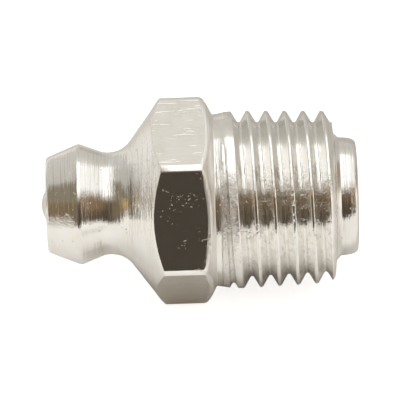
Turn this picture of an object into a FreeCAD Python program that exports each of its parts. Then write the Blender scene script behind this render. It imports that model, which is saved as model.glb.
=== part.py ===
import FreeCAD, Part
import os
import Sketcher
from math import hypot

# Grease nipple, straight, with a short taper thread.
# The X axis runs along the nipple from the head towards the thread. The origin is on the axis,
# where the full thread diameter begins beside the hexagon. The nipple lies on one flat of its
# hexagon, so two flats are level. All sizes are in millimetres and all angles in degrees.

DRIVING_SIZES = (
    # name, size, what it is
    ("head_diameter", 6.5, "coupling ridge of the head"),
    ("front_cone_fall", 0.64, "fall of the front cone, from the ridge to the face"),
    ("face_chamfer", 0.12, "broken edge of the front face"),
    ("front_cone_length", 1.54, "broken edge to coupling ridge"),
    ("ridge_length", 0.32, "land on the coupling ridge"),
    ("back_cone_length", 1.36, "coupling ridge to neck"),
    ("ridge_edge_radius", 0.25, "rounded edges of the coupling ridge"),
    ("neck_undercut", 0.45, "depth of the neck below the ridge"),
    ("neck_land", 0.07, "straight part of the neck"),
    ("neck_fillet", 1.35, "sweep from the neck into the collar cone"),
    ("collar_angle", 55.0, "collar cone, from the axis"),
    ("hex_across_flats", 10.0, "hexagon"),
    ("hex_corner_length", 2.37, "length of a corner of the hexagon, before it is rounded"),
    ("hex_corner_radius", 0.5, "rounded corners of the drawn bar"),
    ("bar_margin", 0.5, "turned bar beyond the corners, milled away with the flats"),
    ("shoulder_angle", 68.0, "cone on the thread side of the hexagon, from the axis"),
    ("root_diameter", 9.1, "root between the hexagon and the thread"),
    ("thread_diameter", 9.6, "crest of the thread beside the hexagon"),
    ("thread_lead_in", 0.35, "slope from the root up to the thread"),
    ("thread_land", 1.0, "parallel part of the thread, where it runs out"),
    ("thread_taper", 16.0, "length over which the thread's diameter falls by one"),
    ("shank_length", 6.15, "full thread diameter to the foot of the thread's end face"),
    ("end_face_lean", 0.2, "lean of the thread's end face, along the axis"),
    ("end_chamfer_length", 0.25, "chamfer at the end of the thread, along the axis"),
    ("end_chamfer_depth", 0.4, "chamfer at the end of the thread, across the axis"),
    ("spigot_diameter", 6.4, "plain spigot past the thread"),
    ("spigot_length", 1.22, "plain spigot past the thread"),
    ("spigot_root_slope", 0.25, "slope in the inside corner of the spigot"),
    ("spigot_edge_radius", 0.9, "rolled edge of the spigot"),
    ("bore_diameter", 3.4, "grease passage"),
    ("mouth_diameter", 1.9, "opening in the front face"),
    ("seat_angle", 45.0, "ball seat, from the axis"),
    ("lip_diameter", 2.1, "opening left by the rolled lip"),
    ("lip_land", 0.35, "straight part of the lip's opening"),
    ("lip_angle", 45.0, "inside of the rolled lip, from the axis"),
    ("ball_diameter", 3.0, "check ball"),
    ("seat_clearance", 0.02, "ball to seat, and spring to ball and lip"),
    ("wire_diameter", 0.35, "spring wire"),
    ("coil_diameter", 2.9, "spring, outside"),
    ("coil_gap", 0.03, "between the turns of a closed end coil"),
    ("active_turns", 9, "open turns of the spring"),
)


def of_sheet(name):
    """The expression that reads a driving size."""
    return f"Sizes.{name}"


# Radii of the turned outline.
head_radius = "Sizes.head_diameter / 2"
face_radius = f"({head_radius} - Sizes.front_cone_fall)"
neck_radius = f"({head_radius} - Sizes.neck_undercut)"
corner_radius = "(Sizes.hex_across_flats / sqrt(3))"
bar_radius = f"({corner_radius} + Sizes.bar_margin)"
root_radius = "Sizes.root_diameter / 2"
thread_radius = "Sizes.thread_diameter / 2"
spigot_radius = "Sizes.spigot_diameter / 2"
bore_radius = "Sizes.bore_diameter / 2"
mouth_radius = "Sizes.mouth_diameter / 2"
lip_radius = "Sizes.lip_diameter / 2"

# Stations along the axis, from the start of the thread at zero towards the head.
root = "-Sizes.thread_lead_in"
bar_end = f"({root} - ({bar_radius} - {root_radius}) / tan(Sizes.shoulder_angle))"
corner_end = f"({root} - ({corner_radius} - {root_radius}) / tan(Sizes.shoulder_angle))"
corner_start = f"({corner_end} - Sizes.hex_corner_length)"
bar_start = f"({corner_start} + Sizes.bar_margin / tan(Sizes.collar_angle))"
collar_foot = f"({corner_start} - ({corner_radius} - {neck_radius}) / tan(Sizes.collar_angle))"
neck_start = f"({collar_foot} - Sizes.neck_fillet * tan(Sizes.collar_angle / 2) - Sizes.neck_land)"
ridge_end = f"({neck_start} - Sizes.back_cone_length)"
ridge_start = f"({ridge_end} - Sizes.ridge_length)"
cone_start = f"({ridge_start} - Sizes.front_cone_length)"
head_face = f"({cone_start} - Sizes.face_chamfer)"

# Stations along the axis, from the start of the thread at zero towards the spigot.
land_start = "0"
land_end = "Sizes.thread_land"
shank_end = "Sizes.shank_length"
chamfer_end = f"({shank_end} - Sizes.end_face_lean)"
chamfer_start = f"({chamfer_end} - Sizes.end_chamfer_length)"
taper_radius = f"({thread_radius} - ({chamfer_start} - {land_end}) / Sizes.thread_taper / 2)"
chamfer_radius = f"({taper_radius} - Sizes.end_chamfer_depth)"
spigot_end = f"({shank_end} + Sizes.spigot_length)"

# Stations of the bore, whose seat opens inwards from the front face.
seat_foot = f"({head_face} + ({bore_radius} - {mouth_radius}) / tan(Sizes.seat_angle))"
lip_start = f"({spigot_end} - Sizes.lip_land)"
lip_foot = f"({lip_start} - ({bore_radius} - {lip_radius}) / tan(Sizes.lip_angle))"

# The ball touches its seat where the seat's cone is tangent to it, less the clearance.
ball_radius = "Sizes.ball_diameter / 2"
ball_depth = (
    f"(({ball_radius} + Sizes.seat_clearance) / sin(Sizes.seat_angle)"
    f" - {mouth_radius} / tan(Sizes.seat_angle))"
)
ball_centre = f"({head_face} + {ball_depth})"

# The first turn of the spring bears on the back of the ball, and the last one on the rolled lip.
wire_radius = "Sizes.wire_diameter / 2"
coil_radius = "((Sizes.coil_diameter - Sizes.wire_diameter) / 2)"
ball_reach = f"({ball_radius} + {wire_radius} + Sizes.seat_clearance)"
spring_start = f"({ball_centre} + sqrt({ball_reach}^2 - {coil_radius}^2))"
spring_end = (
    f"({lip_foot} + ({bore_radius} - {coil_radius}) / tan(Sizes.lip_angle)"
    f" - ({wire_radius} + Sizes.seat_clearance) / sin(Sizes.lip_angle))"
)
closed_pitch = "(Sizes.wire_diameter + Sizes.coil_gap)"
open_length = f"({spring_end} - {spring_start} - 2 * {closed_pitch})"
open_turns = "round(Sizes.active_turns)"

# The round wire is drawn with six sides, and its corners lie so far out that it has the area of
# the round wire.
WIRE_SIDES = 6
wire_corner = f"({wire_radius} * sqrt(2 * pi / (3 * sqrt(3))))"

# Two places closer than this are the same place.
SAME_PLACE = 1e-4
FULL_TURN = 360.0
HEXAGON_SIDES = 6


def make_sheet(doc):
    """Write the driving sizes, one to a row, each under its own name."""
    sheet = doc.addObject("Spreadsheet::Sheet", "Sizes")
    for row, (name, size, meaning) in enumerate(DRIVING_SIZES, start=1):
        sheet.set(f"A{row}", meaning)
        sheet.set(f"B{row}", str(size))
        sheet.setAlias(f"B{row}", name)
    doc.recompute()
    return sheet


def value_of(holder, expression):
    """The number that an expression stands for."""
    return float(holder.evalExpression(expression))


def make_body(doc, name):
    """Start a piece made by features in order."""
    body = doc.addObject("PartDesign::Body", name)
    body.Label = name
    body.Placement = FreeCAD.Placement()
    return body


def origin_feature(body, role):
    """A plane or axis of the piece's own origin."""
    return next(part for part in body.Origin.OriginFeatures if part.Role == role)


def new_sketch(body, name, plane_role):
    """An empty sketch on one of the piece's own planes."""
    sketch = body.newObject("Sketcher::SketchObject", name)
    sketch.AttachmentSupport = [(origin_feature(body, plane_role), "")]
    sketch.MapMode = "FlatFace"
    return sketch


def pin_point(sketch, geometry, end, across, up):
    """Hold one point of a sketch at two expressions, measured from the sketch's origin."""
    for direction, expression in (("DistanceX", across), ("DistanceY", up)):
        distance = value_of(sketch, expression)
        held = Sketcher.Constraint(direction, -1, 1, geometry, end, distance)
        index = sketch.addConstraint(held)
        sketch.setExpression(f"Constraints[{index}]", expression)


def draw_outline(sketch, corners):
    """Draw a closed outline of straight lines through corners given as expressions."""
    places = [
        FreeCAD.Vector(value_of(sketch, across), value_of(sketch, up), 0)
        for across, up in corners
    ]
    first = sketch.GeometryCount
    count = len(corners)
    for index in range(count):
        sketch.addGeometry(Part.LineSegment(places[index], places[(index + 1) % count]))
    for index, (across, up) in enumerate(corners):
        line = first + index
        following = first + (index + 1) % count
        sketch.addConstraint(Sketcher.Constraint("Coincident", line, 2, following, 1))
        pin_point(sketch, line, 1, across, up)


def draw_circle(sketch, across, up, radius):
    """Draw a circle whose centre and radius are expressions."""
    centre = FreeCAD.Vector(value_of(sketch, across), value_of(sketch, up), 0)
    size = value_of(sketch, radius)
    circle = sketch.addGeometry(Part.Circle(centre, FreeCAD.Vector(0, 0, 1), size))
    pin_point(sketch, circle, 3, across, up)
    index = sketch.addConstraint(Sketcher.Constraint("Radius", circle, size))
    sketch.setExpression(f"Constraints[{index}]", radius)


def ring_edges(feature, station, radius):
    """The names of the round edges about the axis at one station and radius."""
    place = value_of(feature, station)
    size = value_of(feature, radius)
    names = []
    for index, edge in enumerate(feature.Shape.Edges, start=1):
        curve = edge.Curve
        if not isinstance(curve, Part.Circle):
            continue
        if abs(curve.Center.x - place) < SAME_PLACE and abs(curve.Radius - size) < SAME_PLACE:
            names.append(f"Edge{index}")
    return names


def corner_edges(feature, radius):
    """The names of the straight edges that run along the axis at one distance from it."""
    size = value_of(feature, radius)
    names = []
    for index, edge in enumerate(feature.Shape.Edges, start=1):
        if not isinstance(edge.Curve, Part.Line):
            continue
        reaches = [hypot(vertex.Point.y, vertex.Point.z) for vertex in edge.Vertexes]
        if all(abs(reach - size) < SAME_PLACE for reach in reaches):
            names.append(f"Edge{index}")
    return names


def round_edges(body, name, names, needed, radius_name):
    """Round edges of the newest feature, which must be as many as needed."""
    if len(names) != needed:
        raise ValueError(f"{name} found {len(names)} edges and needs {needed}")
    base = body.Tip
    fillet = body.newObject("PartDesign::Fillet", name)
    fillet.Base = (base, names)
    fillet.setExpression("Radius", of_sheet(radius_name))
    body.Document.recompute()
    return fillet


def round_rings(body, name, rings, radius_name):
    """Round the ring edges of the newest feature, each given by its station and radius."""
    names = [edge for station, radius in rings for edge in ring_edges(body.Tip, station, radius)]
    return round_edges(body, name, names, len(rings), radius_name)


def make_nipple_body(doc):
    """The one turned piece: head, neck, hexagon, threaded shank, spigot and stepped bore."""
    body = make_body(doc, "nipple_body")

    # Half of the lengthwise section, wall and bore together, turned about the axis.
    section = new_sketch(body, "half_section", "XZ_Plane")
    outside = [
        (head_face, f"{face_radius} - Sizes.face_chamfer"),
        (cone_start, face_radius),
        (ridge_start, head_radius),
        (ridge_end, head_radius),
        (neck_start, neck_radius),
        (collar_foot, neck_radius),
        (bar_start, bar_radius),
        (bar_end, bar_radius),
        (root, root_radius),
        (land_start, thread_radius),
        (land_end, thread_radius),
        (chamfer_start, taper_radius),
        (chamfer_end, chamfer_radius),
        (shank_end, f"{spigot_radius} + Sizes.spigot_root_slope"),
        (f"{shank_end} + Sizes.spigot_root_slope", spigot_radius),
        (spigot_end, spigot_radius),
    ]
    inside = [
        (spigot_end, lip_radius),
        (lip_start, lip_radius),
        (lip_foot, bore_radius),
        (seat_foot, bore_radius),
        (head_face, mouth_radius),
    ]
    draw_outline(section, outside + inside)
    turned = body.newObject("PartDesign::Revolution", "turned_blank")
    turned.Profile = section
    turned.ReferenceAxis = (section, ["H_Axis"])
    turned.Angle = FULL_TURN
    doc.recompute()

    # Everything outside the hexagon is milled off, from the root back to the neck.
    around = new_sketch(body, "hexagon_flats", "YZ_Plane")
    around.setExpression("AttachmentOffset.Base.z", root)
    half_flats = "Sizes.hex_across_flats / 2"
    half_side = f"{corner_radius} / 2"
    draw_outline(
        around,
        [
            (corner_radius, "0"),
            (half_side, half_flats),
            (f"-{half_side}", half_flats),
            (f"-{corner_radius}", "0"),
            (f"-{half_side}", f"-{half_flats}"),
            (half_side, f"-{half_flats}"),
        ],
    )
    draw_circle(around, "0", "0", f"{bar_radius} + Sizes.bar_margin")
    flats = body.newObject("PartDesign::Pocket", "milled_flats")
    flats.Profile = around
    flats.setExpression("Length", f"{root} - {collar_foot}")
    doc.recompute()

    round_rings(body, "neck_sweep", [(collar_foot, neck_radius)], "neck_fillet")
    round_rings(
        body,
        "ridge_edges",
        [(ridge_start, head_radius), (ridge_end, head_radius)],
        "ridge_edge_radius",
    )
    round_rings(body, "rolled_edge", [(spigot_end, spigot_radius)], "spigot_edge_radius")
    corners = corner_edges(body.Tip, corner_radius)
    round_edges(body, "bar_corners", corners, HEXAGON_SIDES, "hex_corner_radius")
    return body


def make_check_ball(doc):
    """The steel ball that the spring holds against the seat in the head."""
    ball = doc.addObject("Part::Sphere", "check_ball")
    ball.Label = "check_ball"
    ball.setExpression("Radius", ball_radius)
    ball.setExpression("Placement.Base.x", ball_centre)
    return ball


def wire_section(station):
    """The corners of the wire's section round one station, two of its flats facing along the axis."""
    step = FULL_TURN / WIRE_SIDES
    first_turn = step / 2
    corners = []
    for side in range(WIRE_SIDES):
        turn = first_turn + side * step
        across = f"{station} + {wire_corner} * cos({turn})"
        up = f"{coil_radius} + {wire_corner} * sin({turn})"
        corners.append((across, up))
    return corners


def add_turns(body, name, start, length, turns):
    """Wind the wire round the axis from one station over a length."""
    section = new_sketch(body, f"{name}_wire", "XZ_Plane")
    draw_outline(section, wire_section(start))
    winding = body.newObject("PartDesign::AdditiveHelix", name)
    winding.Profile = section
    winding.ReferenceAxis = (section, ["H_Axis"])
    winding.Mode = "height-turns-angle"
    winding.setExpression("Height", length)
    winding.setExpression("Turns", turns)
    body.Document.recompute()
    return winding


def make_valve_spring(doc):
    """The compression spring: open turns between two closed end coils."""
    body = make_body(doc, "valve_spring")
    open_start = f"({spring_start} + {closed_pitch})"
    open_end = f"({spring_end} - {closed_pitch})"
    add_turns(body, "ball_end_coil", spring_start, closed_pitch, "1")
    add_turns(body, "open_coils", open_start, open_length, open_turns)
    add_turns(body, "lip_end_coil", open_end, closed_pitch, "1")
    return body


def check_document(doc, pieces):
    """Stop if a feature failed or a piece is empty or broken."""
    for item in doc.Objects:
        if {"Invalid", "Error"} & set(item.State):
            raise RuntimeError(f"{item.Name} is {item.State}")
    for piece in pieces:
        shape = piece.Shape
        if shape.isNull() or not shape.isValid() or len(shape.Solids) != 1:
            raise RuntimeError(f"{piece.Label} is not one sound solid")


def main():
    doc = FreeCAD.newDocument("grease_nipple")
    make_sheet(doc)
    pieces = [make_nipple_body(doc), make_check_ball(doc), make_valve_spring(doc)]
    doc.recompute()
    check_document(doc, pieces)
    os.makedirs("parts", exist_ok=True)
    for piece in pieces:
        piece.Shape.exportStep(f"parts/{piece.Label}.step")
        box = piece.Shape.BoundBox
        print(f"{piece.Label}: {piece.Shape.Volume:.3f} mm3, x {box.XMin:.3f} to {box.XMax:.3f}")


main()
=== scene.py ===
from math import cos, pi, radians, sin, sqrt, tan

import bmesh
import bpy
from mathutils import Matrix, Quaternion, Vector


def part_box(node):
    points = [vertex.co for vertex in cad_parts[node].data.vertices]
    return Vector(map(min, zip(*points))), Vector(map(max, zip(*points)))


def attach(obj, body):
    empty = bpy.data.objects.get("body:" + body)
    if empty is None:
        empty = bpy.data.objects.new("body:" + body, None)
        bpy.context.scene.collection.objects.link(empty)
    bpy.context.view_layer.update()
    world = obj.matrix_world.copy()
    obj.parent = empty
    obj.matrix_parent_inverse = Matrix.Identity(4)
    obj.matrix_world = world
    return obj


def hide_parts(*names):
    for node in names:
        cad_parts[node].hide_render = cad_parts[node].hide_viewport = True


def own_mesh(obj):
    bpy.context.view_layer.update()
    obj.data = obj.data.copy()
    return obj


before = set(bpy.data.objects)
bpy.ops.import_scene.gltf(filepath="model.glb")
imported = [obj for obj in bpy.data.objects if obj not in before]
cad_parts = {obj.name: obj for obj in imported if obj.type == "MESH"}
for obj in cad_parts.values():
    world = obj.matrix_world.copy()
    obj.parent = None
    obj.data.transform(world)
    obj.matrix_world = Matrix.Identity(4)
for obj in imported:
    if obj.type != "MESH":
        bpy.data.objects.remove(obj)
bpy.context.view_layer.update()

# Grease nipple of nickel-plated steel, lying on one flat of its hexagon.
# X runs along the nipple, from the head towards the thread, and Z is up.
# Lengths are in millimetres until they go into a mesh.
MM = 0.001

# Turned outline of the body: stations along the axis and radii.
HEAD_FACE = -9.409
FACE_EDGE_RADIUS = 2.61
FACE_BREAK = 0.12
RIDGE_START = -7.70
RIDGE_END = -7.54
RIDGE_RADIUS = 3.25
NECK_START = -6.25
NECK_RADIUS = 2.8
NECK_WAIST = 2.75
NECK_FILLET = 1.35
COLLAR_FOOT = -5.25
COLLAR_KNEE = (-3.69, 4.9)
COLLAR_ANGLE = 55.0
CORNER_START = -3.11
SHOULDER_ANGLE = 63.0
ROOT_STATION = -0.36
ROOT_RADIUS = 4.63
BAND_START = (0.02, 4.69)
BAND_MIDDLE = (0.30, 4.75)
CREST_RADIUS = 4.8
CREST_TAPER = 1 / 32
LAND_END = 1.0
CHAMFER_START = 5.82
CHAMFER_END = 6.05
CHAMFER_RADIUS = 4.35
END_FACE_FOOT = 6.15
SPIGOT_RADIUS = 3.2
SPIGOT_FOOT = 0.25
SPIGOT_END = 7.37
CURL_START = 7.3
CURL_DROP = 0.03
CURL_END_RADIUS = 2.5
BORE_RADIUS = 1.7
SEAT_FOOT = -8.659
MOUTH_RADIUS = 0.95
LIP_RADIUS = 1.05
LIP_START = 7.02
LIP_FOOT = 6.37

# Hexagon, and the bar that it is turned from.
HALF_FLATS = 5.0
CORNER_REACH = 5.7735
CORNER_ROUND = 0.45
CORNER_STEPS = 8
BAR_MARGIN = 0.5
BAR_LENGTH = 30.0
# The edges where the flats meet each cone: between which stations, how wide and in how many steps.
COLLAR_EDGES = ((-4.6, -2.4), 0.02, 2)
SHOULDER_EDGES = ((-1.6, -0.4), 0.20, 5)
# A flat leans less along the axis than the first of these, and a cone more than the second.
FLAT_LEAN = 0.02
CONE_LEAN = 0.2
# The flats lie behind this station and outside this radius.
FLATS_START = -3.9
FLATS_INSIDE = 4.6

# Camera.
VIEW_ELEVATION = radians(42.5)
PICTURE_WIDTH = 400
PIXELS_PER_MM = 18.5
CAMERA_TARGET = (-1.144, 0.0, 0.037)
CAMERA_DISTANCE = 250.0
CAMERA_ROLL = 1.75
SENSOR_WIDTH = 36.0
NEAREST = 10.0
FARTHEST = 10000.0

# Thread.
PITCH = 1.0
GROOVE_DEPTH = 0.616
# Half of the groove's section, from its bottom to above the crest: offsets along the axis and heights.
# The flanks are at 60 degrees to each other, so what one shows has been mirrored by the other.
GROOVE_SIDE = (
    (0.030, 0.004),
    (0.060, 0.016),
    (0.085, 0.035),
    (0.104, 0.060),
    (0.3874, 0.551),
    (0.399, 0.568),
    (0.415, 0.586),
    (0.435, 0.601),
    (0.455, 0.610),
    (0.478, 0.615),
    (0.478, 0.90),
)
GROOVE_START = -0.35
GROOVE_END = 6.9
# The first crest seen at the top of the photographed side is this far along the axis.
FIRST_CREST = 0.555
THREAD_PHASE = VIEW_ELEVATION + 2 * pi * (FIRST_CREST + PITCH / 2 - GROOVE_START) / PITCH
# How far the cutter is lifted out, by turns from the start of the groove.
CUTTER_LIFTS = ((0.0, 0.70), (0.45, 0.60), (0.8, 0.40), (1.25, 0.0))

# Spring.
WIRE = 0.35
SPRING_WIDTH = 2.9
CLOSED_GAP = 0.03
SPRING_TURNS = 11
SPRING_STEPS = 48
WIRE_STEPS = 4

# Fineness of the meshes: steps round the axis and in a curve, and reaches for merging points.
ROUND_STEPS = 256
GROOVE_STEPS = 128
EASE_STEPS = 6
START_SIZE = 0.1
SPIN_MERGE = 0.0005
CUT_MERGE = 0.00005
SMOOTH_ANGLE = radians(40)
FLOOR_SIZE = 2000.0


def colour(red, green, blue):
    return (red, green, blue, 1.0)


def grey(level):
    return colour(level, level, level)


NICKEL = colour(0.93, 0.915, 0.885)
NICKEL_DULL = colour(0.88, 0.855, 0.81)
# The grey of the streaks and stains, which also serves as painted shade.
NICKEL_STREAK_AND_SHADE = colour(0.58, 0.565, 0.53)
BALL_STEEL = colour(0.97, 0.96, 0.94)
SPRING_STEEL = colour(0.50, 0.48, 0.45)
PAPER = colour(0.90, 0.89, 0.865)
PAPER_SHADED = colour(0.70, 0.685, 0.655)
DARK_TABLE = colour(0.075, 0.062, 0.048)
WHITE = grey(1.0)

# Patterns: scale to the millimetre, detail and roughness, then the factors that draw a pattern out
# along an axis where they are small, and the two values between which it shows.
FINE_STREAKS = (7.0, 4.0, 0.65, (1.0, 0.10, 0.10))
COARSE_STREAKS = (2.2, 2.0, 0.5, (1.0, 0.10, 0.10))
LINES = (4.0, 3.0, 0.7, (1.0, 0.025, 0.025))
HAIRLINES = (13.0, 2.0, 0.6, (1.0, 0.025, 0.025))
TURNED_GRAIN = (9.0, 3.0, 0.7)
TURNED_CLOUDS = (0.8, 3.0, 0.55)
SMALL_PITS = (4.0, 2.0, 0.6, None, (0.68, 0.76))
LARGE_PITS = (2.6, 3.0, 0.7, None, (0.50, 0.62))
PATCHES = (0.9, 2.0, 0.5, None, (0.50, 0.60))
TORN_METAL = (5.0, 4.0, 0.76, (1.0, 0.55, 0.55))
CHATTER = (6.0, 4.0, 0.75, (1.0, 0.35, 0.35))
ROUGH_METAL = (7.0, 3.0, 0.7, (1.0, 0.6, 0.6))
SHOULDER_NICKS = (3.0, 3.0, 0.6, None, (0.50, 0.60))
STROKES = (5.0, 4.0, 0.65, (0.12, 1.0, 1.0))
SCRATCHES = (3.4, 2.0, 0.6, (0.22, 1.5, 1.5), (0.62, 0.70))
WAVES = (0.7, 2.0, 0.5)
DRAWN_GRAIN = (8.0, 3.0, 0.65)
DRAWN_CLOUDS = (0.9, 3.0, 0.55)
SPECKS = (10.0, 3.0, 0.7, (0.7, 1.0, 1.0), (0.60, 0.72))
EDGE_NICKS = (3.6, 3.0, 0.7, None, (0.54, 0.62))
STEEL_MARKS = (6.0, 3.0, 0.6)
STEEL_CLOUDS = (0.9, 2.0, 0.5)

# Places on the turned metal, along the axis or up the side that the photograph shows. Four numbers
# are where a mark begins, is full, fades and has gone. Two are where it comes, or where it goes.
SIDE_MIDDLE = (-0.6, 0.4, 1.6, 3.2)
SIDE_LOW = (0.8, 2.2)
HEAD_ALONG = (-6.7, -6.2)
SPECKLED_ALONG = (-8.1, -7.7)
SPECKLED_SIDE = (-1.5, -1.0, -0.9, -0.3)
BEHIND_RIDGE_ALONG = (-7.0, -6.6, -6.2, -5.9)
FOOT_ALONG = (-5.5, -5.2, -4.9, -4.6)
STRIP_ALONG = (-4.84, -4.78, -4.46, -4.38)
STRIP_SIDE = (-0.4, 0.2, 0.9, 1.6)
NICKED_ALONG = (-1.25, -1.15, -0.75, -0.60)
NICKED_SIDE = (-3.4, -2.8, -1.6, -1.2)
SHOULDER_ALONG = (-1.0, -0.85, -0.36, -0.28)
BAND_ALONG = (-0.45, -0.30, 0.8, 1.0)
BAND_SIDE = (1.4, 2.2)
TORN_ALONG = (-0.08, 0.02, 0.60, 1.15)
THREAD_ALONG = (0.4, 0.8, 5.8, 6.0)
THREAD_TOP_SIDE = (2.6, 3.6)
BRUISE_ALONG = (3.66, 3.74, 3.78, 3.86)
BRUISE_SIDE = (-1.7, -1.4, -0.3, 0.0)
SPIGOT_ALONG = (6.2, 6.4)

# Relief of the turned metal, and how much of it is smoothed away in some places.
FINE_RELIEF = 0.026
COARSE_RELIEF = 0.030
LINE_RELIEF = 0.036
HAIRLINE_RELIEF = 0.005
GRAIN_RELIEF = 0.004
PIT_DEPTH = 0.02
TORN_RELIEF = 0.10
STRIP_RELIEF = 0.07
CHATTER_RELIEF = 0.006
CHATTER_LOW_RELIEF = 0.006
CHATTER_MIDDLE_RELIEF = 0.008
THREAD_PIT_DEPTH = 0.012
SPECKLE_RELIEF = 0.045
BRUISE_RELIEF = 0.05
NICK_DEPTH = 0.06
HEAD_SMOOTHED = 0.3
BAND_SMOOTHED = 0.65
THREAD_SMOOTHED = 0.5

# Tone of the turned metal: how strongly each streak, stain or painted shade shows.
CLOUDS_SHOWN = (0.35, 0.7)
LINES_SHOWN = (0.5, 0.68)
HAIRLINES_SHOWN = (0.5, 0.7)
CHATTER_SHOWN = (0.5, 0.66)
EVEN_STREAKS = 0.10
# The extra streaks at middle height are partly real turning streaks and partly painted shade.
MIDDLE_STREAKS_AND_SHADE = 0.35
CLEARED = 0.8
CHATTER_STAIN = 0.4
SPIGOT_STAIN = 0.15
# Painted shade: the top of the thread is darkened, and so are the collar's foot and the back of the
# ridge at middle height, where the metal mirrors darker surroundings.
THREAD_TOP_PAINTED_SHADE = 0.3
FOOT_PAINTED_SHADE = 0.2
RIDGE_PAINTED_SHADE = 0.25
TURNED_ROUGHNESS = (0.3, 0.75, 0.06, 0.15)
SHOULDER_ROUGHNESS = 0.36

# Drawn flats: where the nicked edge and the upper flat are, and relief.
NICKED_EDGE_ALONG = (-1.15, -0.90)
NICKED_EDGE_UP = (0.0, 1.0)
TOP_FLAT_UP = (4.8, 4.95)
STROKE_RELIEF = 0.004
DRAWN_GRAIN_RELIEF = 0.0012
WAVE_RELIEF = 0.003
SPECK_DEPTH = 0.0056
EDGE_NICK_DEPTH = 0.02
SCRATCH_DEPTH = 0.0004
TOP_SCRATCH_DEPTH = 0.0027
DRAWN_ROUGHNESS = (0.3, 0.7, 0.07, 0.13)

# Bare steel of the ball and the spring.
BALL_ROUGHNESS = 0.12
SPRING_ROUGHNESS = 0.3
STEEL_ROUGHENED = 0.08
STEEL_DARKENED = 0.85
STEEL_RELIEF = 0.001
STEEL_SHOWN = (0.3, 0.7)

# Places on the floor, along the nipple or across it, with two or four numbers as above.
SHADED_ALONG = (-4, -1)
SHADED_ACROSS = (6, 16)
TABLE_ALONG = (-1, 4)
TABLE_ACROSS = (-100, -60)
FRONT_ACROSS = (-6, -3)
HEXAGON_FLOOR_ALONG = (-4.4, -3.6, -0.4, 0.4)
HEXAGON_FLOOR_ACROSS = (-6.5, -5.2)
HEAD_FLOOR_ALONG = (-7.5, -4.5)
HEAD_FLOOR_ACROSS = (1, 4)
UNDER_HEAD_ALONG = (-7.4, -5.2)
UNDER_THREAD_ALONG = (0, 2, 5.0, 6.5)
BEFORE_THREAD_ALONG = (-2, 2, 5.5, 8)
BEFORE_THREAD_ACROSS = (-16, -7)
BEYOND_HEAD_ALONG = (-20, -14)
BACK_LEFT_ALONG = (-24, -14)
BACK_LEFT_ACROSS = (10, 20)

# How much of the floor's glow each place has or loses.
PAPER_GLOW = 0.8
TABLE_GLOW = 0.3
CLEAR_GLOW = 0.32
BEYOND_HEAD_GLOW = 0.05
BACK_LEFT_GLOW = 0.16
UNDER_HEAD_LOSS = 0.16
UNDER_THREAD_LOSS = 0.35
BEFORE_THREAD_LOSS = 0.55

# The studio by direction. Each sky has its colours by the angle in degrees from the front horizon,
# over the top, to the back horizon.
MIDDLE_SKY = (
    (0, colour(0.066, 0.056, 0.046)),
    (25, colour(0.066, 0.055, 0.043)),
    (34, colour(0.10, 0.075, 0.052)),
    (44, colour(0.14, 0.105, 0.075)),
    (54, colour(0.70, 0.67, 0.62)),
    (62, grey(1.45)),
    (130, grey(1.45)),
    (136, colour(0.76, 0.735, 0.675)),
    (155, colour(0.62, 0.60, 0.555)),
    (180, colour(0.60, 0.58, 0.54)),
)
LEFT_SKY = (
    (0, colour(0.20, 0.16, 0.115)),
    (42, colour(0.205, 0.155, 0.10)),
    (52, colour(0.26, 0.225, 0.17)),
    (90, colour(0.26, 0.225, 0.17)),
    (102, colour(0.56, 0.54, 0.49)),
    (180, colour(0.64, 0.63, 0.60)),
)
FAR_LEFT_SKY = (
    (0, colour(0.30, 0.22, 0.155)),
    (15, colour(0.36, 0.26, 0.165)),
    (33, colour(0.75, 0.53, 0.24)),
    (56, colour(0.62, 0.45, 0.22)),
    (66, colour(0.23, 0.195, 0.14)),
    (92, colour(0.26, 0.225, 0.175)),
    (104, colour(0.57, 0.56, 0.53)),
    (180, colour(0.65, 0.645, 0.63)),
)
RIGHT_SKY = (
    (0, colour(0.10, 0.074, 0.05)),
    (24, colour(0.14, 0.10, 0.064)),
    (32, colour(0.235, 0.155, 0.09)),
    (56, colour(0.25, 0.175, 0.11)),
    (66, colour(0.60, 0.57, 0.52)),
    (78, colour(1.04, 1.03, 1.0)),
    (128, colour(1.04, 1.03, 1.0)),
    (146, colour(0.67, 0.65, 0.60)),
    (180, colour(0.62, 0.60, 0.56)),
)
FAR_RIGHT_SKY = (
    (0, colour(1.20, 1.14, 1.06)),
    (20, colour(1.30, 1.21, 1.10)),
    (60, colour(1.30, 1.21, 1.10)),
    (90, colour(0.62, 0.58, 0.52)),
    (118, colour(0.42, 0.33, 0.25)),
    (180, colour(0.36, 0.27, 0.20)),
)
HALF_TURN = 180
# Where one sky gives way to the next, by how far a direction points along the nipple.
LEFT_SECTOR = (-0.34, -0.10)
FAR_LEFT_SECTOR = (-0.93, -0.83)
RIGHT_SECTOR = (0.22, 0.48)
FAR_RIGHT_SECTOR = (0.76, 0.86)


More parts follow.
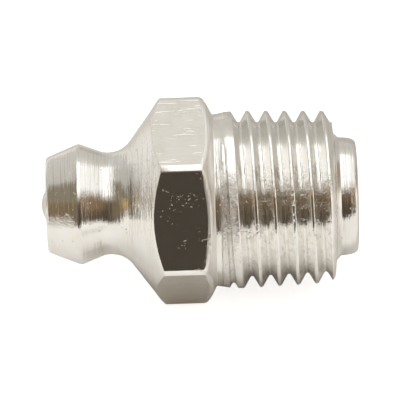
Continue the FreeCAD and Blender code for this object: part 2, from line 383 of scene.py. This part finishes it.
class Socket:
    """A value in a material: arithmetic on it adds Math nodes."""

    def __init__(self, finish, socket):
        self.finish = finish
        self.socket = socket

    def maths(self, operation, *values):
        return self.finish.add("ShaderNodeMath", {"operation": operation}, dict(enumerate(values)))

    def __add__(self, other):
        return self.maths("ADD", self, other)

    def __radd__(self, other):
        return self.maths("ADD", other, self)

    def __sub__(self, other):
        return self.maths("SUBTRACT", self, other)

    def __rsub__(self, other):
        return self.maths("SUBTRACT", other, self)

    def __mul__(self, other):
        return self.maths("MULTIPLY", self, other)

    def __rmul__(self, other):
        return self.maths("MULTIPLY", other, self)

    def angle_from(self, other):
        return self.maths("ARCTAN2", self, other)

    def greater(self, other):
        return self.maths("MAXIMUM", self, other)

    def ramp(self, low, high, low_value=0.0, high_value=1.0):
        """Go smoothly from one value to another between two limits."""
        settings = {"interpolation_type": "SMOOTHSTEP"}
        inputs = {"Value": self, "From Min": low, "From Max": high}
        inputs["To Min"] = low_value
        inputs["To Max"] = high_value
        return self.finish.add("ShaderNodeMapRange", settings, inputs, "Result")

    def fall(self, low, high):
        """Go smoothly from 1 down to 0 between two limits."""
        return self.ramp(low, high, 1.0, 0.0)

    def window(self, begin, full, fade, gone):
        """Rise to 1 between the first two limits, and fall back between the last two."""
        return self.ramp(begin, full) * self.fall(fade, gone)


class Finish:
    """A procedural material, or the world, built node by node."""

    def __init__(self, tree):
        self.tree = tree
        self.tree.nodes.clear()

    def add(self, kind, settings=None, inputs=None, output=0):
        """Add a node: first its settings, then the values or links of its sockets."""
        node = self.tree.nodes.new(kind)
        for name, value in (settings or {}).items():
            if name == "stops":
                self.set_stops(node.color_ramp, value)
            else:
                setattr(node, name, value)
        for name, value in (inputs or {}).items():
            target = self.pick(node.inputs, name)
            if isinstance(value, Socket):
                self.tree.links.new(value.socket, target)
            else:
                target.default_value = value
        return Socket(self, self.pick(node.outputs, output)) if node.outputs else None

    @staticmethod
    def pick(sockets, name):
        """A node's socket by its number, or by its name among those in use."""
        if isinstance(name, int):
            return sockets[name]
        return next(socket for socket in sockets if socket.enabled and socket.name == name)

    @staticmethod
    def set_stops(ramp, stops):
        ramp.interpolation = "EASE"
        while len(ramp.elements) < len(stops):
            ramp.elements.new(0.5)
        for element, (place, shade) in zip(ramp.elements, stops):
            element.position = place
            element.color = shade

    def blend(self, amount, first, second):
        """Mix two colours."""
        inputs = {"Factor": amount, "A": first, "B": second}
        return self.add("ShaderNodeMix", {"data_type": "RGBA"}, inputs, "Result")

    def parts(self, vector):
        """The three parts of a vector."""
        first = self.add("ShaderNodeSeparateXYZ", {}, {0: vector})
        return [Socket(self, output) for output in first.socket.node.outputs]

    def millimetres(self):
        """The place on the object, in millimetres."""
        place = self.add("ShaderNodeTexCoord", output="Object")
        settings = {"operation": "SCALE"}
        return self.add("ShaderNodeVectorMath", settings, {0: place, "Scale": 1 / MM}, "Vector")

    def pattern(self, place, scale, detail, roughness, stretch=None, limits=None):
        """A noise, drawn out if it has a stretch, and cut to two limits if it has them."""
        if stretch:
            settings = {"operation": "MULTIPLY"}
            place = self.add("ShaderNodeVectorMath", settings, {0: place, 1: stretch}, "Vector")
        inputs = {"Vector": place, "Scale": scale, "Detail": detail, "Roughness": roughness}
        noise = self.add("ShaderNodeTexNoise", {}, inputs, "Fac")
        return noise.ramp(*limits) if limits else noise

    def relief(self, height):
        """A bump from a height in millimetres."""
        inputs = {"Strength": 1.0, "Distance": MM, "Height": height}
        return self.add("ShaderNodeBump", {}, inputs, "Normal")

    def metal(self, base, roughness, height):
        """The surface of a metal, with a relief from its height in millimetres."""
        inputs = {"Base Color": base, "Metallic": 1.0, "Roughness": roughness}
        inputs["Normal"] = self.relief(height)
        shader = self.add("ShaderNodeBsdfPrincipled", {}, inputs)
        self.add("ShaderNodeOutputMaterial", {}, {"Surface": shader})


def new_finish(name):
    material = bpy.data.materials.new(name)
    material.use_nodes = True
    return material, Finish(material.node_tree)


def turned_nickel():
    """Nickel plate over turned steel: rings of fine streaks, grain and a few pits, with painted shade
    at some heights up the side.
    """
    material, finish = new_finish("turned_nickel")
    place = finish.millimetres()
    along, across, up = finish.parts(place)
    # Height on the side that the photograph shows: it belongs to the nipple and turns with it.
    side = up * cos(VIEW_ELEVATION) + across * sin(VIEW_ELEVATION)
    middle = side.window(*SIDE_MIDDLE)
    low_side = side.fall(*SIDE_LOW)

    fine = finish.pattern(place, *FINE_STREAKS)
    coarse = finish.pattern(place, *COARSE_STREAKS)
    lines = finish.pattern(place, *LINES)
    hairlines = finish.pattern(place, *HAIRLINES)
    grain = finish.pattern(place, *TURNED_GRAIN)
    pits = finish.pattern(place, *SMALL_PITS)
    height = fine * FINE_RELIEF + coarse * COARSE_RELIEF
    height = height + lines * LINE_RELIEF + hairlines * HAIRLINE_RELIEF
    height = height * (1 - along.fall(*HEAD_ALONG) * HEAD_SMOOTHED)
    height = height + grain * GRAIN_RELIEF - pits * PIT_DEPTH
    band = along.window(*BAND_ALONG) * side.ramp(*BAND_SIDE)
    threaded = along.window(*THREAD_ALONG)
    height = height * (1 - band * BAND_SMOOTHED) * (1 - threaded * THREAD_SMOOTHED)

    # The die's first turns leave the metal torn beside the hexagon, and its grooves are grainy.
    torn = along.window(*TORN_ALONG) * low_side
    height = height + finish.pattern(place, *TORN_METAL) * torn * TORN_RELIEF
    chatter = finish.pattern(place, *CHATTER)
    chattered = middle * CHATTER_MIDDLE_RELIEF + low_side * CHATTER_LOW_RELIEF + CHATTER_RELIEF
    height = height + chatter * threaded * chattered
    large_pits = finish.pattern(place, *LARGE_PITS)
    pitted = finish.pattern(place, *PATCHES) * threaded * low_side
    height = height - large_pits * pitted * THREAD_PIT_DEPTH

    # A strip of the collar has kept rough turning marks.
    strip = along.window(*STRIP_ALONG) * side.window(*STRIP_SIDE)
    height = height + finish.pattern(place, *ROUGH_METAL) * strip * STRIP_RELIEF

    # Specks on the head, a bruise on the thread and nicks on the shoulder.
    speckled = along.fall(*SPECKLED_ALONG) * side.window(*SPECKLED_SIDE)
    height = height + grain * speckled * SPECKLE_RELIEF
    bruised = along.window(*BRUISE_ALONG) * side.window(*BRUISE_SIDE)
    height = height + large_pits * bruised * BRUISE_RELIEF
    nicked = along.window(*NICKED_ALONG) * side.window(*NICKED_SIDE)
    height = height - finish.pattern(place, *SHOULDER_NICKS) * nicked * NICK_DEPTH

    clouds = finish.pattern(place, *TURNED_CLOUDS).ramp(*CLOUDS_SHOWN)
    tint = finish.blend(clouds * (1 - threaded * CLEARED), NICKEL, NICKEL_DULL)
    # Streaks are stronger at middle height up the seen side: partly real turning streaks, partly
    # painted shade where the metal mirrors the edge of the dark room.
    streaks_and_shade = middle * MIDDLE_STREAKS_AND_SHADE + EVEN_STREAKS
    streaks_and_shade = streaks_and_shade * (1 - band * CLEARED) * (1 - threaded * CLEARED)
    # Real streaks and stains, and painted shade, each blended into the tint.
    darkenings = (
        lines.ramp(*LINES_SHOWN) * streaks_and_shade,
        hairlines.ramp(*HAIRLINES_SHOWN) * streaks_and_shade,
        chatter.ramp(*CHATTER_SHOWN) * threaded * low_side * CHATTER_STAIN,
        along.ramp(*SPIGOT_ALONG) * SPIGOT_STAIN,
        # Painted shade: a darker top of the thread, and a darker collar foot and ridge back at middle
        # height.
        threaded * side.ramp(*THREAD_TOP_SIDE) * THREAD_TOP_PAINTED_SHADE,
        along.window(*FOOT_ALONG) * middle * FOOT_PAINTED_SHADE,
        along.window(*BEHIND_RIDGE_ALONG) * middle * RIDGE_PAINTED_SHADE,
    )
    for darkening in darkenings:
        tint = finish.blend(darkening, tint, NICKEL_STREAK_AND_SHADE)
    roughness = fine.ramp(*TURNED_ROUGHNESS) + along.window(*SHOULDER_ALONG) * SHOULDER_ROUGHNESS
    finish.metal(tint, roughness, height)
    return material


def drawn_nickel():
    """Nickel plate over the drawn flats: faint lengthwise strokes, small dents and specks."""
    material, finish = new_finish("drawn_nickel")
    place = finish.millimetres()
    along, _, up = finish.parts(place)
    grain = finish.pattern(place, *DRAWN_GRAIN)
    height = finish.pattern(place, *STROKES) * STROKE_RELIEF + grain * DRAWN_GRAIN_RELIEF
    height = height + finish.pattern(place, *WAVES) * WAVE_RELIEF
    specks = finish.pattern(place, *SPECKS) * finish.pattern(place, *PATCHES)
    height = height - specks * SPECK_DEPTH
    edge = along.ramp(*NICKED_EDGE_ALONG) * up.fall(*NICKED_EDGE_UP)
    height = height - finish.pattern(place, *EDGE_NICKS) * edge * EDGE_NICK_DEPTH
    scratched = up.ramp(*TOP_FLAT_UP) * TOP_SCRATCH_DEPTH + SCRATCH_DEPTH
    height = height - finish.pattern(place, *SCRATCHES) * scratched
    clouds = finish.pattern(place, *DRAWN_CLOUDS).ramp(*CLOUDS_SHOWN)
    tint = finish.blend(clouds, NICKEL, NICKEL_DULL)
    finish.metal(tint, grain.ramp(*DRAWN_ROUGHNESS), height)
    return material


def steel_finish(name, base, roughness):
    """Bare hardened steel with faint drawing or polishing marks."""
    material, finish = new_finish(name)
    place = finish.millimetres()
    marks = finish.pattern(place, *STEEL_MARKS)
    clouds = finish.pattern(place, *STEEL_CLOUDS)
    darker = colour(*(STEEL_DARKENED * part for part in base[:3]))
    tint = finish.blend(clouds, base, darker)
    rough = clouds.ramp(*STEEL_SHOWN, roughness, roughness + STEEL_ROUGHENED)
    finish.metal(tint, rough, marks * STEEL_RELIEF)
    return material


def deselect_all():
    bpy.ops.object.select_all(action="DESELECT")


def only(piece):
    """Make one piece the only selected and the active one."""
    deselect_all()
    piece.select_set(True)
    bpy.context.view_layer.objects.active = piece


def name_active(name):
    piece = bpy.context.active_object
    piece.name = name
    piece.data.name = name
    return piece


def link_new(name, data):
    """Put a new object into the scene, and make it the only selected one."""
    piece = bpy.data.objects.new(name, data)
    bpy.context.collection.objects.link(piece)
    only(piece)
    return piece


def give_material(piece, material):
    piece.data.materials.clear()
    piece.data.materials.append(material)


def eased(corners, steps):
    """Round each corner of a closed outline: station, radius, and how far back the curve starts."""
    places = [Vector(corner[:2]) for corner in corners]
    count = len(corners)
    result = []
    for index, corner in enumerate(places):
        before = places[index - 1]
        after = places[(index + 1) % count]
        reach = corners[index][2]
        size_before, size_after = reach if isinstance(reach, tuple) else (reach, reach)
        start = corner + (before - corner).normalized() * size_before
        end = corner + (after - corner).normalized() * size_after
        for step in range(steps + 1):
            part = step / steps
            near = start.lerp(corner, part)
            far = corner.lerp(end, part)
            result.append(tuple(near.lerp(far, part)))
    return result


def body_outline():
    """The closed half section, bore and wall together, as a list of corners for eased()."""
    shoulder_slope = tan(radians(SHOULDER_ANGLE))
    bar_radius = CORNER_REACH + BAR_MARGIN
    knee_x, knee_r = COLLAR_KNEE
    bar_start = CORNER_START + BAR_MARGIN * (CORNER_START - knee_x) / (CORNER_REACH - knee_r)
    bar_end = ROOT_STATION - (bar_radius - ROOT_RADIUS) / shoulder_slope
    crest_end = CREST_RADIUS - (CHAMFER_START - LAND_END) * CREST_TAPER
    sweep = NECK_FILLET * tan(radians(COLLAR_ANGLE / 2))
    return [
        (HEAD_FACE, FACE_EDGE_RADIUS - FACE_BREAK, 0.04),
        (HEAD_FACE + FACE_BREAK, FACE_EDGE_RADIUS, 0.05),
        (RIDGE_START, RIDGE_RADIUS, 0.05),
        (RIDGE_END, RIDGE_RADIUS, 0.06),
        (NECK_START, NECK_WAIST, 0.26),
        (COLLAR_FOOT, NECK_RADIUS, sweep),
        (*COLLAR_KNEE, 0.12),
        (bar_start, bar_radius, 0.02),
        (bar_end, bar_radius, 0.02),
        (ROOT_STATION, ROOT_RADIUS, 0.06),
        (*BAND_START, 0.05),
        (*BAND_MIDDLE, 0.08),
        (LAND_END, CREST_RADIUS, 0.05),
        (CHAMFER_START, crest_end, 0.10),
        (CHAMFER_END, CHAMFER_RADIUS, 0.12),
        (END_FACE_FOOT, SPIGOT_RADIUS + SPIGOT_FOOT, 0.12),
        (END_FACE_FOOT + SPIGOT_FOOT, SPIGOT_RADIUS, 0.05),
        (CURL_START, SPIGOT_RADIUS - CURL_DROP, (0.82, 0.3)),
        (SPIGOT_END, CURL_END_RADIUS, (0.25, 0.2)),
        (SPIGOT_END, LIP_RADIUS, 0.06),
        (LIP_START, LIP_RADIUS, 0.05),
        (LIP_FOOT, BORE_RADIUS, 0.05),
        (SEAT_FOOT, BORE_RADIUS, 0.05),
        (HEAD_FACE, MOUTH_RADIUS, 0.03),
    ]


def spin_outline(name, outline):
    """Extrude a closed outline from its first corner point by point, and spin it about the axis."""
    here = Vector(outline[0])
    location = (here.x * MM, 0.0, here.y * MM)
    bpy.ops.mesh.primitive_plane_add(size=START_SIZE * MM, location=location)
    piece = name_active(name)
    bpy.ops.object.transform_apply(location=True, rotation=True, scale=True)
    bpy.ops.object.mode_set(mode="EDIT")
    bpy.ops.mesh.select_all(action="SELECT")
    bpy.ops.mesh.merge(type="CENTER")
    for corner in outline[1:]:
        step = (Vector(corner) - here) * MM
        move = {"value": (step.x, 0.0, step.y)}
        bpy.ops.mesh.extrude_region_move(TRANSFORM_OT_translate=move)
        here = Vector(corner)
    shape = bmesh.from_edit_mesh(piece.data)
    for point in shape.verts:
        point.select_set(len(point.link_edges) == 1)
    bmesh.update_edit_mesh(piece.data)
    bpy.ops.mesh.edge_face_add()
    bpy.ops.mesh.select_all(action="SELECT")
    bpy.ops.mesh.spin(
        steps=ROUND_STEPS,
        angle=2 * pi,
        center=(0.0, 0.0, 0.0),
        axis=(1.0, 0.0, 0.0),
    )
    bpy.ops.mesh.select_all(action="SELECT")
    bpy.ops.mesh.remove_doubles(threshold=SPIN_MERGE * MM)
    bpy.ops.mesh.normals_make_consistent(inside=False)
    bpy.ops.object.mode_set(mode="OBJECT")
    return piece


def select_edges(piece, wanted):
    """In edit mode, select the edges that a test picks."""
    bpy.ops.mesh.select_mode(type="EDGE")
    bpy.ops.mesh.select_all(action="DESELECT")
    shape = bmesh.from_edit_mesh(piece.data)
    for edge in shape.edges:
        if wanted(edge):
            edge.select_set(True)
    bmesh.update_edit_mesh(piece.data)


def bevel_edges(piece, wanted, reach, steps):
    """Bevel the edges that a test picks."""
    only(piece)
    bpy.ops.object.mode_set(mode="EDIT")
    select_edges(piece, wanted)
    bpy.ops.mesh.bevel(
        offset=reach * MM,
        offset_type="OFFSET",
        segments=steps,
        clamp_overlap=False,
    )
    bpy.ops.mesh.select_mode(type="VERT")
    bpy.ops.object.mode_set(mode="OBJECT")


def hexagon_bar():
    """The drawn hexagon bar, longer than the nipple, its corners rounded."""
    bpy.ops.mesh.primitive_cylinder_add(
        vertices=6,
        radius=CORNER_REACH * MM,
        depth=BAR_LENGTH * MM,
        rotation=(0.0, pi / 2, 0.0),
    )
    bar = name_active("hexagon_bar")
    bpy.ops.object.transform_apply(location=True, rotation=True, scale=True)

    def along_bar(edge):
        return abs(edge.verts[0].co.x - edge.verts[1].co.x) > BAR_LENGTH / 2 * MM

    bevel_edges(bar, along_bar, CORNER_ROUND * tan(radians(30)), CORNER_STEPS)
    return bar


def cut(piece, tool, operation):
    """Combine a piece with a tool, which is then thrown away."""
    only(piece)
    step = piece.modifiers.new("cut", "BOOLEAN")
    step.operation = operation
    step.solver = "EXACT"
    step.object = tool
    bpy.ops.object.modifier_apply(modifier="cut")
    bpy.data.objects.remove(tool)
    bpy.ops.object.mode_set(mode="EDIT")
    bpy.ops.mesh.select_all(action="SELECT")
    bpy.ops.mesh.remove_doubles(threshold=CUT_MERGE * MM)
    bpy.ops.mesh.dissolve_degenerate(threshold=CUT_MERGE * MM)
    bpy.ops.object.mode_set(mode="OBJECT")


def break_hexagon_edges(piece, stations, reach, steps):
    """Bevel the edges in which the flats meet one of the turned cones."""
    low, high = stations

    def between_flat_and_cone(edge):
        if len(edge.link_faces) != 2:
            return False
        middle = (edge.verts[0].co + edge.verts[1].co) / 2
        if not low * MM < middle.x < high * MM:
            return False
        leans = sorted(abs(face.normal.x) for face in edge.link_faces)
        return leans[0] < FLAT_LEAN and leans[1] > CONE_LEAN

    bevel_edges(piece, between_flat_and_cone, reach, steps)


def groove_lift(turns):
    """How far out of the metal the cutter stands: it comes in over the first turn."""
    for (before, lift_before), (after, lift_after) in zip(CUTTER_LIFTS, CUTTER_LIFTS[1:]):
        if turns <= after:
            part = (turns - before) / (after - before)
            return lift_before + (lift_after - lift_before) * part
    return 0.0


def thread_cutter():
    """The groove as a solid: its section carried round the axis and along the taper."""
    left = [(-offset, height) for offset, height in reversed(GROOVE_SIDE)]
    section = left + [(0.0, 0.0)] + list(GROOVE_SIDE)
    count = len(section)
    steps = round((GROOVE_END - GROOVE_START) / PITCH * GROOVE_STEPS)
    points = []
    faces = []
    for step in range(steps + 1):
        part = step / GROOVE_STEPS
        x = GROOVE_START + part * PITCH
        crest = CREST_RADIUS - max(0.0, x - LAND_END) * CREST_TAPER
        root = crest - GROOVE_DEPTH + groove_lift(part)
        turn = THREAD_PHASE - part * 2 * pi
        for offset, height in section:
            r = root + height
            points.append(((x + offset) * MM, r * sin(turn) * MM, r * cos(turn) * MM))
    for step in range(steps):
        low = step * count
        high = low + count
        for side in range(count):
            following = (side + 1) % count
            faces.append((low + side, low + following, high + following, high + side))
    last = steps * count
    faces.append(tuple(range(count)))
    faces.append(tuple(reversed(range(last, last + count))))
    mesh = bpy.data.meshes.new("thread_cutter")
    mesh.from_pydata(points, [], faces)
    cutter = link_new("thread_cutter", mesh)
    bpy.ops.object.mode_set(mode="EDIT")
    bpy.ops.mesh.select_all(action="SELECT")
    bpy.ops.mesh.normals_make_consistent(inside=False)
    bpy.ops.object.mode_set(mode="OBJECT")
    return cutter


def weigh_normals(piece):
    """Let the broad faces keep their own direction, so that only the rounded edges turn."""
    step = piece.modifiers.new("weighted", "WEIGHTED_NORMAL")
    step.mode = "FACE_AREA"
    step.weight = 100
    step.keep_sharp = True
    bpy.ops.object.modifier_apply(modifier="weighted")


def finish_flats(body, drawn):
    """Give the flats of the hexagon their own finish."""
    body.data.materials.append(drawn)
    bpy.ops.object.mode_set(mode="EDIT")
    bpy.ops.mesh.select_mode(type="FACE")
    bpy.ops.mesh.select_all(action="DESELECT")
    shape = bmesh.from_edit_mesh(body.data)
    for face in shape.faces:
        centre = face.calc_center_median()
        in_hexagon = FLATS_START * MM < centre.x < ROOT_STATION * MM
        outer = sqrt(centre.y ** 2 + centre.z ** 2) > FLATS_INSIDE * MM
        if in_hexagon and outer and abs(face.normal.x) < FLAT_LEAN:
            face.select_set(True)
    bmesh.update_edit_mesh(body.data)
    body.active_material_index = 1
    bpy.ops.object.material_slot_assign()
    bpy.ops.mesh.select_mode(type="VERT")
    bpy.ops.object.mode_set(mode="OBJECT")


def make_body(turned, drawn):
    """The body, turned from the bar, its hexagon's edges broken and its thread cut."""
    body = spin_outline("body_of_nipple", eased(body_outline(), EASE_STEPS))
    cut(body, hexagon_bar(), "INTERSECT")
    break_hexagon_edges(body, *COLLAR_EDGES)
    break_hexagon_edges(body, *SHOULDER_EDGES)
    cut(body, thread_cutter(), "DIFFERENCE")
    only(body)
    bpy.ops.object.shade_smooth_by_angle(angle=SMOOTH_ANGLE)
    weigh_normals(body)
    give_material(body, turned)
    finish_flats(body, drawn)
    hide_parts("nipple_body")
    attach(body, "body")
    return body


def make_spring(steel):
    """The round-wire spring, with a closed turn at each end."""
    low, high = (Vector(corner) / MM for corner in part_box("valve_spring"))
    coil = (SPRING_WIDTH - WIRE) / 2
    closed = WIRE + CLOSED_GAP
    start = low.x + WIRE / 2
    end = high.x - WIRE / 2
    open_length = end - start - 2 * closed
    points = []
    for step in range(SPRING_TURNS * SPRING_STEPS + 1):
        part = step / SPRING_STEPS
        if part < 1:
            x = start + closed * part
        elif part > SPRING_TURNS - 1:
            x = end - closed * (SPRING_TURNS - part)
        else:
            x = start + closed + open_length * (part - 1) / (SPRING_TURNS - 2)
        turn = part * 2 * pi
        points.append((x * MM, coil * sin(turn) * MM, coil * cos(turn) * MM))
    curve = bpy.data.curves.new("spring_wire", "CURVE")
    curve.dimensions = "3D"
    curve.bevel_depth = WIRE / 2 * MM
    curve.bevel_resolution = WIRE_STEPS
    curve.use_fill_caps = True
    line = curve.splines.new("POLY")
    line.points.add(len(points) - 1)
    for point, place in zip(line.points, points):
        point.co = (*place, 1.0)
    link_new("round_wire_spring", curve)
    bpy.ops.object.convert(target="MESH")
    spring = name_active("round_wire_spring")
    bpy.ops.object.shade_smooth()
    give_material(spring, steel)
    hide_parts("valve_spring")
    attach(spring, "body")
    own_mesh(spring)
    return spring


def make_floor():
    """The paper under the nipple: it shows white, and glows where the metal mirrors its clear parts."""
    location = (0.0, 0.0, -HALF_FLATS * MM)
    bpy.ops.mesh.primitive_plane_add(size=FLOOR_SIZE * MM, location=location)
    floor = name_active("paper_floor")
    bpy.ops.object.transform_apply(location=True, rotation=True, scale=True)
    material, finish = new_finish("white_paper")
    seen = finish.add("ShaderNodeLightPath", output="Is Camera Ray")
    mirrored = finish.add("ShaderNodeLightPath", output="Is Glossy Ray")
    along, across, _ = finish.parts(finish.millimetres())
    shaded = across.ramp(*SHADED_ACROSS) * along.ramp(*SHADED_ALONG)
    table = across.fall(*TABLE_ACROSS) * along.fall(*TABLE_ALONG)
    paper = finish.blend(table, finish.blend(shaded, PAPER, PAPER_SHADED), DARK_TABLE)
    matt = finish.add("ShaderNodeBsdfDiffuse", {}, {"Color": paper})

    by_hexagon = along.window(*HEXAGON_FLOOR_ALONG) * across.ramp(*HEXAGON_FLOOR_ACROSS)
    beside_head = along.fall(*HEAD_FLOOR_ALONG) * across.fall(*HEAD_FLOOR_ACROSS)
    clear = (across.fall(*FRONT_ACROSS) - by_hexagon).greater(beside_head) * (1 - shaded)
    under_head = along.fall(*UNDER_HEAD_ALONG) * UNDER_HEAD_LOSS
    under_thread = along.window(*UNDER_THREAD_ALONG) * UNDER_THREAD_LOSS
    before_thread = across.fall(*BEFORE_THREAD_ACROSS) * along.window(*BEFORE_THREAD_ALONG)
    clear = clear * (1 - under_thread - under_head) * (1 - before_thread * BEFORE_THREAD_LOSS)
    back_left = along.fall(*BACK_LEFT_ALONG) * across.ramp(*BACK_LEFT_ACROSS)
    glowing = clear * CLEAR_GLOW + along.fall(*BEYOND_HEAD_ALONG) * BEYOND_HEAD_GLOW
    glowing = glowing + back_left * BACK_LEFT_GLOW
    brightness = seen * (PAPER_GLOW + table * TABLE_GLOW) + mirrored * glowing * (1 - table)
    glow = finish.add("ShaderNodeEmission", {}, {"Color": brightness, "Strength": 1.0})
    surface = finish.add("ShaderNodeAddShader", {}, {0: matt, 1: glow})
    finish.add("ShaderNodeOutputMaterial", {}, {"Surface": surface})
    give_material(floor, material)


def sky(finish, angle, stops):
    """One sky's colour at an angle, which is 0 at the front horizon and 1 at the back one."""
    placed = [(degree / HALF_TURN, shade) for degree, shade in stops]
    return finish.add("ShaderNodeValToRGB", {"stops": placed}, {"Fac": angle}, "Color")


def make_world():
    """Studio light by direction: a broad soft box above, and a dark room round the camera."""
    world = bpy.data.worlds.new("studio")
    bpy.context.scene.world = world
    world.use_nodes = True
    finish = Finish(world.node_tree)
    direction = finish.add("ShaderNodeTexCoord", output="Generated")
    along, across, up = finish.parts(direction)
    angle = up.angle_from(0 - across) * (1 / pi)
    shown = sky(finish, angle, MIDDLE_SKY)
    shown = finish.blend(along.fall(*LEFT_SECTOR), shown, sky(finish, angle, LEFT_SKY))
    shown = finish.blend(along.fall(*FAR_LEFT_SECTOR), shown, sky(finish, angle, FAR_LEFT_SKY))
    shown = finish.blend(along.ramp(*RIGHT_SECTOR), shown, sky(finish, angle, RIGHT_SKY))
    shown = finish.blend(along.ramp(*FAR_RIGHT_SECTOR), shown, sky(finish, angle, FAR_RIGHT_SKY))
    seen = finish.add("ShaderNodeLightPath", output="Is Camera Ray")
    inputs = {"Color": finish.blend(seen, shown, WHITE), "Strength": 1.0}
    light = finish.add("ShaderNodeBackground", {}, inputs)
    finish.add("ShaderNodeOutputWorld", {}, {"Surface": light})


def make_camera():
    """The photograph's view, from the front and well above."""
    camera_data = bpy.data.cameras.new("camera")
    camera = bpy.data.objects.new("camera", camera_data)
    bpy.context.collection.objects.link(camera)
    away = Vector((0.0, -cos(VIEW_ELEVATION), sin(VIEW_ELEVATION)))
    camera.location = (Vector(CAMERA_TARGET) + away * CAMERA_DISTANCE) * MM
    upright = (-away).to_track_quat("-Z", "Y")
    roll = Quaternion((0.0, 0.0, 1.0), radians(-CAMERA_ROLL))
    camera.rotation_mode = "QUATERNION"
    camera.rotation_quaternion = upright @ roll
    camera_data.sensor_width = SENSOR_WIDTH
    camera_data.lens = PIXELS_PER_MM * CAMERA_DISTANCE * SENSOR_WIDTH / PICTURE_WIDTH
    camera_data.clip_start = NEAREST * MM
    camera_data.clip_end = FARTHEST * MM
    bpy.context.scene.camera = camera


make_camera()
make_body(turned_nickel(), drawn_nickel())
give_material(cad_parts["check_ball"], steel_finish("ball_steel", BALL_STEEL, BALL_ROUGHNESS))
make_spring(steel_finish("spring_steel", SPRING_STEEL, SPRING_ROUGHNESS))
make_floor()
make_world()

bpy.context.scene.view_settings.view_transform = "Standard"
